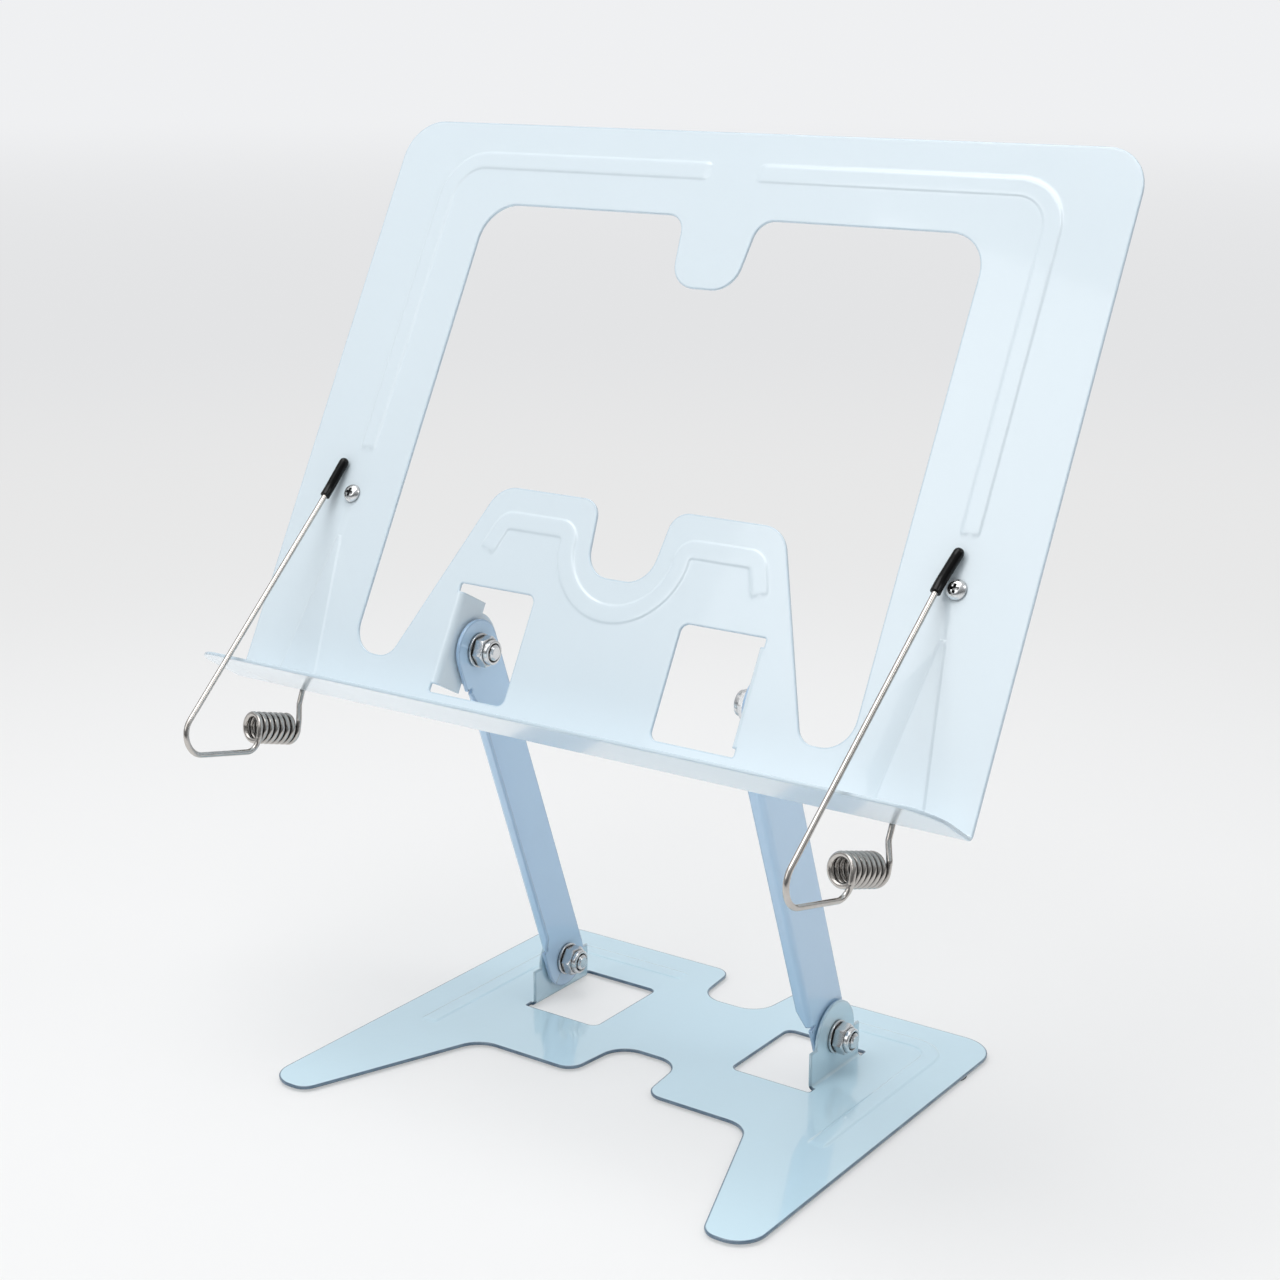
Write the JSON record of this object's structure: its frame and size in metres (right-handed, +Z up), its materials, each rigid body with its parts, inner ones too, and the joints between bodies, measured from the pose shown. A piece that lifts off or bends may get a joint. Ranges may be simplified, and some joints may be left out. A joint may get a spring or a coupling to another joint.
{
  "type": "folding book stand",
  "caption": "Folding sheet-metal book stand with a leaning windowed panel, a book ledge, two hinged arms, a notched base plate and spring-wire page clips.",
  "frame": {"origin": "centre of the footprint's box, on the floor that the base's pads stand on", "axes": "+Z up, +Y towards the rear, away from the reader, +X to the reader's right"},
  "size_m": [0.3, 0.187, 0.3302],
  "materials": {
    "base_paint": "gloss",
    "arm_paint": "gloss",
    "panel_paint": "gloss",
    "plated_steel": "bright zinc",
    "spring_wire": "nickel plated",
    "tip_rubber": "gloss",
    "pad_rubber": "matte",
    "friction_plastic": "matte"
  },
  "bodies": {
    "base": {"base_plate": "base_paint", "foot_pads": "pad_rubber", "base_left_bolt": "plated_steel", "base_left_nut": "plated_steel", "base_left_washer": "plated_steel", "base_left_friction_washer": "friction_plastic", "base_right_bolt": "plated_steel", "base_right_nut": "plated_steel", "base_right_washer": "plated_steel", "base_right_friction_washer": "friction_plastic"},
    "left_arm_body": {"left_arm": "arm_paint"},
    "right_arm_body": {"right_arm": "arm_paint"},
    "panel": {"back_panel": "panel_paint", "panel_left_bolt": "plated_steel", "panel_left_nut": "plated_steel", "panel_left_washer": "plated_steel", "panel_left_friction_washer": "friction_plastic", "panel_right_bolt": "plated_steel", "panel_right_nut": "plated_steel", "panel_right_washer": "plated_steel", "panel_right_friction_washer": "friction_plastic", "left_clip_screw": "plated_steel", "left_clip_nut": "plated_steel", "left_clip_washer": "plated_steel", "right_clip_screw": "plated_steel", "right_clip_nut": "plated_steel", "right_clip_washer": "plated_steel"},
    "left_clip": {"left_clip_spring": "spring_wire"},
    "right_clip": {"right_clip_spring": "spring_wire"},
    "left_clip_front": {"left_clip_leg": "spring_wire", "left_clip_tip": "tip_rubber"},
    "right_clip_front": {"right_clip_leg": "spring_wire", "right_clip_tip": "tip_rubber"}
  },
  "joints": [
    {"name": "arm_fold", "type": "hinge", "parent": "base", "child": "left_arm_body", "pos_m": [0, 0.04082, 0.0158], "axis": [1, 0, 0], "range_deg": [-20, 69.3]},
    {"name": "right_arm_fold", "type": "hinge", "parent": "base", "child": "right_arm_body", "pos_m": [0, 0.04082, 0.0158], "axis": [1, 0, 0], "range_deg": [-20, 69.3]},
    {"name": "panel_tilt", "type": "hinge", "parent": "left_arm_body", "child": "panel", "pos_m": [0, -0.01061, 0.15191], "axis": [-1, 0, 0], "range_deg": [-25, 110]},
    {"name": "left_clip_swivel", "type": "hinge", "parent": "panel", "child": "left_clip", "pos_m": [-0.124, -0.00207, 0.19899], "axis": [0, -0.8805, 0.4741], "range_deg": [-11.5, 4.5]},
    {"name": "right_clip_swivel", "type": "hinge", "parent": "panel", "child": "right_clip", "pos_m": [0.124, -0.00207, 0.19899], "axis": [0, -0.8805, 0.4741], "range_deg": [-8, 8]},
    {"name": "left_clip_lift", "type": "hinge", "parent": "left_clip", "child": "left_clip_front", "pos_m": [-0.11967, -0.05986, 0.1204], "axis": [0.9981, 0.0289, 0.0538], "range_deg": [0, 30], "stiffness_Nm_per_rad": 0.72, "springref_deg": -5.73},
    {"name": "right_clip_lift", "type": "hinge", "parent": "right_clip", "child": "right_clip_front", "pos_m": [0.12242, -0.0599, 0.12033], "axis": [1, 0, 0], "range_deg": [0, 30], "stiffness_Nm_per_rad": 0.72, "springref_deg": -5.73}
  ],
  "couplings": [
    {"joint": "right_arm_fold", "follows": "arm_fold", "ratio": 1}
  ]
}
